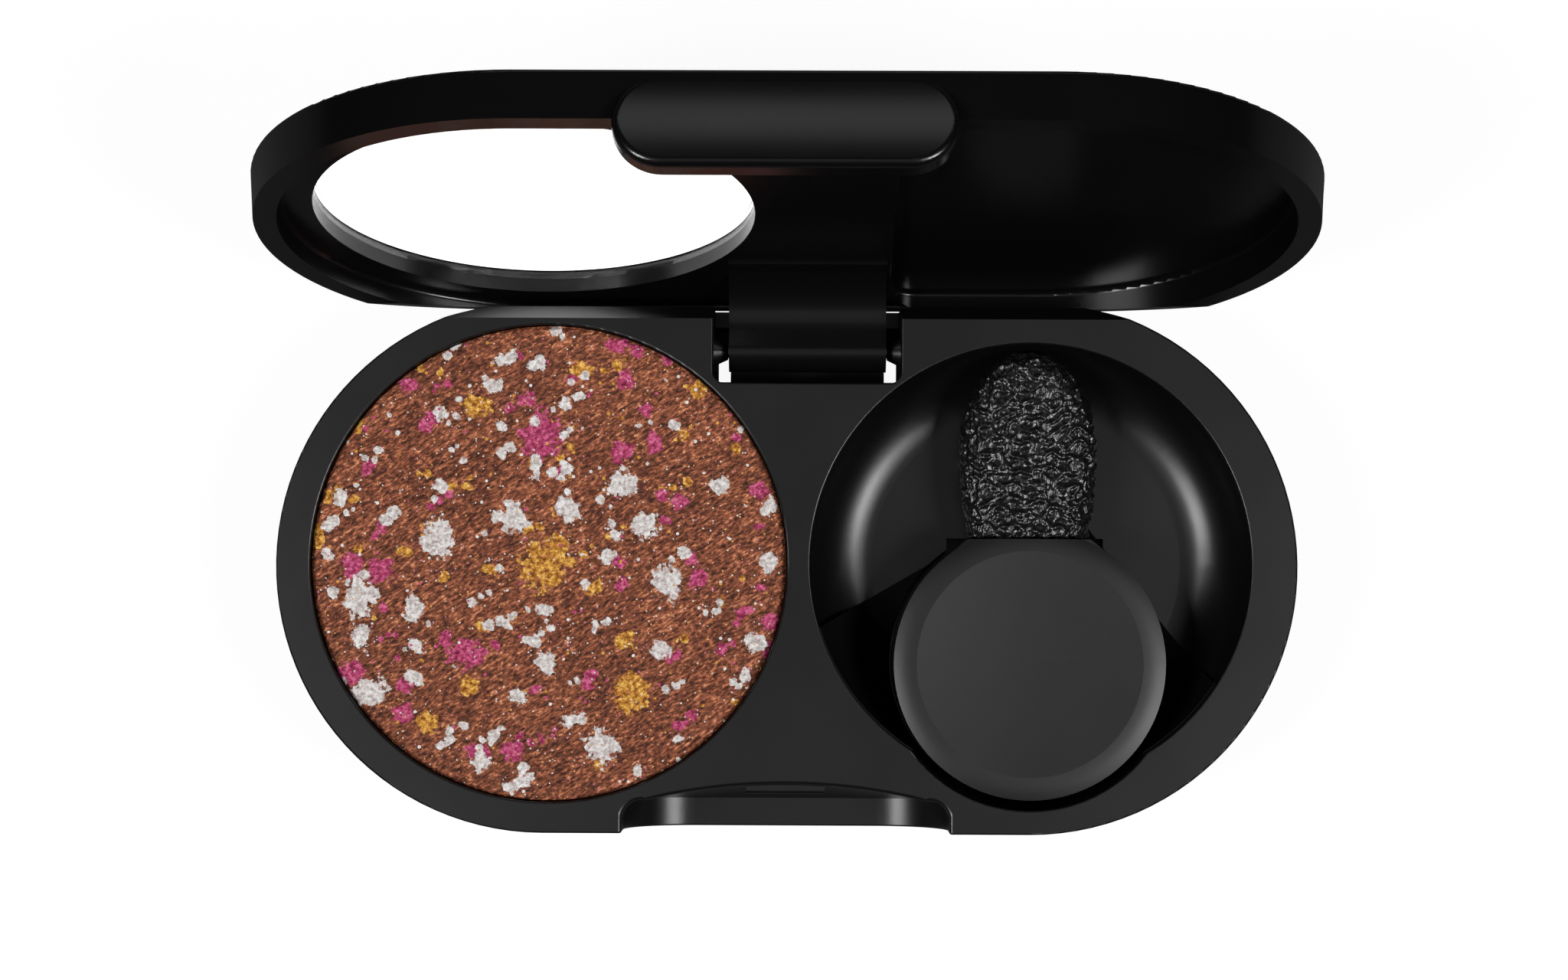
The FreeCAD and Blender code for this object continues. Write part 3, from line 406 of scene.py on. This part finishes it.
relief = weigh(powder_tree, speckle_and_painted_relief, 1.0, crumb_relief_painted_light.outputs["Fac"], 0.45)
powder_bump = add_node(powder_tree, "ShaderNodeBump", in_Strength=1.0, in_Distance=0.00022)
powder_link(relief, powder_bump.inputs["Height"])
powder_link(powder_bump.outputs["Normal"], powder_shader.inputs["Normal"])
shimmer = add_node(powder_tree, "ShaderNodeMapRange", in_1=0.4, in_2=0.6, in_3=0.62, in_4=0.40)
powder_link(flake.outputs["Fac"], shimmer.inputs["Value"])
powder_link(shimmer.outputs["Result"], powder_shader.inputs["Roughness"])
pearl = add_node(powder_tree, "ShaderNodeMapRange", in_3=0.45, in_4=0.05)
powder_link(crumb_masks[2], pearl.inputs["Value"])
powder_link(pearl.outputs["Result"], powder_shader.inputs["Metallic"])
powder_disc.data.materials.append(powder)
dress("pressed_powder", powder)
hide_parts("pressed_powder")
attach(powder_disc, "base")


# ---- hinge pin ---------------------------------------------------------------------
# Drawn steel wire pressed into the base's two bosses, with the lid's knuckle turning on it.

pin_steel, pin_tree, pin_shader = start_material("pin_steel")
pin_place = pin_tree.nodes.new("ShaderNodeTexCoord")
pin_stretch = pin_tree.nodes.new("ShaderNodeMapping")
pin_stretch.inputs["Scale"].default_value = (0.04, 1.0, 1.0)
pin_lines = add_node(pin_tree, "ShaderNodeTexNoise", in_Scale=14000.0, in_Detail=2.0)
pin_tree.links.new(pin_place.outputs["Object"], pin_stretch.inputs["Vector"])
pin_tree.links.new(pin_stretch.outputs["Vector"], pin_lines.inputs["Vector"])
pin_gloss = add_node(pin_tree, "ShaderNodeMapRange", in_3=0.22, in_4=0.4)
pin_tree.links.new(pin_lines.outputs["Fac"], pin_gloss.inputs["Value"])
pin_tree.links.new(pin_gloss.outputs["Result"], pin_shader.inputs["Roughness"])
pin_shader.inputs["Base Color"].default_value = (0.35, 0.35, 0.36, 1.0)
pin_shader.inputs["Metallic"].default_value = 1.0
dress("hinge_pin", pin_steel)


# ---- applicator --------------------------------------------------------------------
# A two-part black handle clipped round a short polypropylene stem, and a foam tip pushed
# over the stem. The foam is open-celled, so its skin is a mass of small glossy folds.

handle_black = black_plastic("handle_soft_black", (0.004, 0.004, 0.004), 0.42, grain_size=16000.0)
dress("handle_top", handle_black)
dress("handle_bottom", handle_black)
dress("applicator_stem", black_plastic("stem_natural", (0.58, 0.58, 0.55), 0.4, grain_size=9000.0))

bpy.ops.object.select_all(action="DESELECT")
foam_tip = node["sponge_tip"].copy()
foam_tip.data = node["sponge_tip"].data.copy()
foam_tip.name = "foam_tip"
foam_tip.parent = None
foam_tip.matrix_world = Matrix.Identity(4)
bpy.context.collection.objects.link(foam_tip)
bpy.context.view_layer.objects.active = foam_tip
foam_tip.select_set(True)
bpy.ops.object.mode_set(mode="EDIT")
bpy.ops.mesh.select_all(action="SELECT")
bpy.ops.mesh.remove_doubles(threshold=0.001 * MM)
bpy.ops.object.mode_set(mode="OBJECT")
cells = foam_tip.modifiers.new("cells", "REMESH")
cells.mode = "VOXEL"
cells.voxel_size = 0.1 * MM
bpy.ops.object.modifier_apply(modifier="cells")

FOLD = 1150.0
folds = []
for vert in foam_tip.data.vertices:
    spot = vert.co
    bend = 0.25 * MM * noise.noise_vector(spot * 900.0)
    broad = noise.noise((spot + bend) * FOLD)
    narrow = noise.noise((spot - bend) * FOLD * 2.1)
    fold = math.exp(-(broad / 0.17) ** 2) * 0.17 + math.exp(-(narrow / 0.2) ** 2) * 0.09
    folds.append((fold - 0.25) * MM)
sunk = [vert.co + vert.normal * depth for vert, depth in zip(foam_tip.data.vertices, folds)]
for vert, spot in zip(foam_tip.data.vertices, sunk):
    vert.co = spot
foam_tip.data.polygons.foreach_set("use_smooth", [True] * len(foam_tip.data.polygons))
foam_tip.data.update()

foam, foam_tree, foam_shader = start_material("foam_black")
foam_place = foam_tree.nodes.new("ShaderNodeTexCoord")
foam_cells = add_node(foam_tree, "ShaderNodeTexNoise", in_Scale=4200.0, in_Detail=3.0, in_Roughness=0.6)
foam_tree.links.new(foam_place.outputs["Object"], foam_cells.inputs["Vector"])
foam_bump = add_node(foam_tree, "ShaderNodeBump", in_Strength=0.6, in_Distance=0.00006)
foam_tree.links.new(foam_cells.outputs["Fac"], foam_bump.inputs["Height"])
foam_tree.links.new(foam_bump.outputs["Normal"], foam_shader.inputs["Normal"])
foam_gloss = add_node(foam_tree, "ShaderNodeMapRange", in_1=0.35, in_2=0.65, in_3=0.34, in_4=0.14)
foam_tree.links.new(foam_cells.outputs["Fac"], foam_gloss.inputs["Value"])
foam_tree.links.new(foam_gloss.outputs["Result"], foam_shader.inputs["Roughness"])
foam_tone = ramp(foam_tree, foam_cells.outputs["Fac"], (0.35, (0.002, 0.002, 0.002)), (0.65, (0.010, 0.010, 0.010)))
foam_tree.links.new(foam_tone, foam_shader.inputs["Base Color"])
foam_tip.data.materials.clear()
foam_tip.data.materials.append(foam)
dress("sponge_tip", foam)
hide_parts("sponge_tip")
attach(foam_tip, "applicator")


# ---- lid ---------------------------------------------------------------------------
# A glossy black moulding that swings on the hinge pin, with a pressed-on thumb tab and a
# clear polystyrene cap for a window, set into the lid from inside.

lid_black = black_plastic("lid_gloss_black", (0.003, 0.003, 0.0034), 0.22, smudge=0.05)
dress("lid_frame", lid_black)
dress("thumb_tab", lid_black)

clear, clear_tree, clear_shader = start_material("window_clear")
clear_skin = clear_tree.nodes.new("ShaderNodeGroup")
clear_skin.node_tree = moulded_skin
clear_skin.inputs["Grain Size"].default_value = 300.0
clear_skin.inputs["Grain Depth"].default_value = 0.01
clear_skin.inputs["Roughness"].default_value = 0.012
clear_skin.inputs["Smudge"].default_value = 0.03
clear_tree.links.new(clear_skin.outputs["Roughness"], clear_shader.inputs["Roughness"])
clear_tree.links.new(clear_skin.outputs["Normal"], clear_shader.inputs["Normal"])
clear_shader.inputs["Base Color"].default_value = (1.0, 1.0, 1.0, 1.0)
clear_shader.inputs["Transmission Weight"].default_value = 1.0
clear_shader.inputs["IOR"].default_value = 1.49
dress("lid_window", clear)

# Closed-lid profile of the window as (radius, height over the deck), from its top inwards
WINDOW_X = -15.4 * MM
WINDOW_PROFILE = [
    (13.6, 3.41), (13.8, 3.37), (13.92, 3.26), (13.95, 3.12), (13.95, 2.25), (13.45, 2.25), (13.45, 2.8),
    (13.41, 2.91), (13.3, 2.96),
]
HINGE_AXIS = (0.0, 13.8 * MM, 7.37 * MM)
OPEN_TURN = math.radians(105.9)

bpy.ops.object.select_all(action="DESELECT")
start_r, start_z = WINDOW_PROFILE[0]
bpy.ops.mesh.primitive_circle_add(
    vertices=256, radius=start_r * MM, fill_type="NGON", location=(WINDOW_X, 0, 10 * MM + start_z * MM))
window_cap = bpy.context.object
window_cap.name = "window_cap"
bpy.ops.object.mode_set(mode="EDIT")
bpy.ops.mesh.select_mode(type="EDGE")
bpy.ops.mesh.select_all(action="SELECT")
for (last_r, last_z), (next_r, next_z) in zip(WINDOW_PROFILE, WINDOW_PROFILE[1:]):
    bpy.ops.mesh.extrude_edges_move(TRANSFORM_OT_translate={"value": (0, 0, (next_z - last_z) * MM)})
    scale = next_r / last_r
    bpy.ops.transform.resize(value=(scale, scale, 1), center_override=(WINDOW_X, 0, 10 * MM + next_z * MM))
bpy.ops.mesh.edge_face_add()
bpy.ops.mesh.select_all(action="SELECT")
bpy.ops.mesh.normals_make_consistent(inside=False)
bpy.ops.mesh.select_all(action="DESELECT")
bpy.ops.object.mode_set(mode="OBJECT")
bpy.ops.object.transform_apply(location=True, rotation=True, scale=True)
axis_place = Matrix.Translation(HINGE_AXIS)
window_cap.data.transform(axis_place @ Matrix.Rotation(-OPEN_TURN, 4, "X") @ axis_place.inverted())
bpy.ops.object.shade_smooth_by_angle(angle=math.radians(50))
window_cap.data.materials.append(clear)
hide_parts("lid_window")
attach(window_cap, "lid")


# ---- floor, light and camera -------------------------------------------------------
# A plain white floor and backdrop, even side softboxes and a weak overhead one.

def white_to_the_eye(tree, seen, seen_through_window, as_light):
    """Emission strength where it is seen straight, seen through the window, and otherwise."""
    path = tree.nodes.new("ShaderNodeLightPath")
    straight = add_node(tree, "ShaderNodeMapRange", in_3=as_light, in_4=seen)
    tree.links.new(path.outputs["Is Camera Ray"], straight.inputs["Value"])
    through = add_node(tree, "ShaderNodeMapRange", in_4=seen_through_window)
    tree.links.new(straight.outputs["Result"], through.inputs["To Min"])
    tree.links.new(path.outputs["Is Transmission Ray"], through.inputs["Value"])
    return through.outputs["Result"]


bpy.ops.object.select_all(action="DESELECT")
bpy.ops.mesh.primitive_plane_add(size=6.0, location=(0, 0, 0))
floor = bpy.context.object
floor.name = "floor"
floor_white, floor_tree, floor_shader = start_material("floor_white")
floor_shader.inputs["Base Color"].default_value = (0.08, 0.08, 0.08, 1.0)
floor_shader.inputs["Roughness"].default_value = 0.9
floor_shader.inputs["Emission Color"].default_value = (1, 1, 1, 1)
floor_tree.links.new(white_to_the_eye(floor_tree, 0.93, 1.6, 0.0), floor_shader.inputs["Emission Strength"])
floor.data.materials.append(floor_white)

world = bpy.data.worlds.new("studio")
bpy.context.scene.world = world
world.use_nodes = True
backdrop = next(item for item in world.node_tree.nodes if item.type == "BACKGROUND")
world.node_tree.links.new(white_to_the_eye(world.node_tree, 1.0, 1.6, 0.015), backdrop.inputs["Strength"])


def softbox(name, place, aim, size, power, colour=(1.0, 1.0, 1.0)):
    """Rectangular studio light pointing at aim."""
    bpy.ops.object.light_add(type="AREA", location=place)
    lamp = bpy.context.object
    lamp.name = name
    lamp.data.shape = "RECTANGLE"
    lamp.data.size, lamp.data.size_y = size
    lamp.data.energy = power
    lamp.data.color = colour
    lamp.rotation_euler = (Vector(aim) - Vector(place)).to_track_quat("-Z", "Y").to_euler()
    return lamp


softbox("left_softbox", (-0.30, -0.10, 0.44), (0, 0, 0), (0.12, 0.2), 1.6)
softbox("right_softbox", (0.30, -0.10, 0.44), (0, 0, 0), (0.12, 0.2), 1.6)
softbox("rear_softbox", (0, 0.50, 0.33), (0, 0, 0), (0.5, 0.15), 0.22)
softbox("top_softbox", (0, 0, 0.6), (0, 0, 0), (0.34, 0.34), 0.08)

bpy.ops.object.camera_add(location=(1.02 * MM, -1.84 * MM, 222.63 * MM))
camera = bpy.context.object
camera.rotation_mode = "ZYX"
camera.rotation_euler = (0.0313, 0.0056, 0.004)
camera.data.lens = 76.73
camera.data.sensor_width = 36.0
camera.data.clip_start = 0.01
bpy.context.scene.camera = camera
bpy.context.scene.view_settings.view_transform = "Standard"
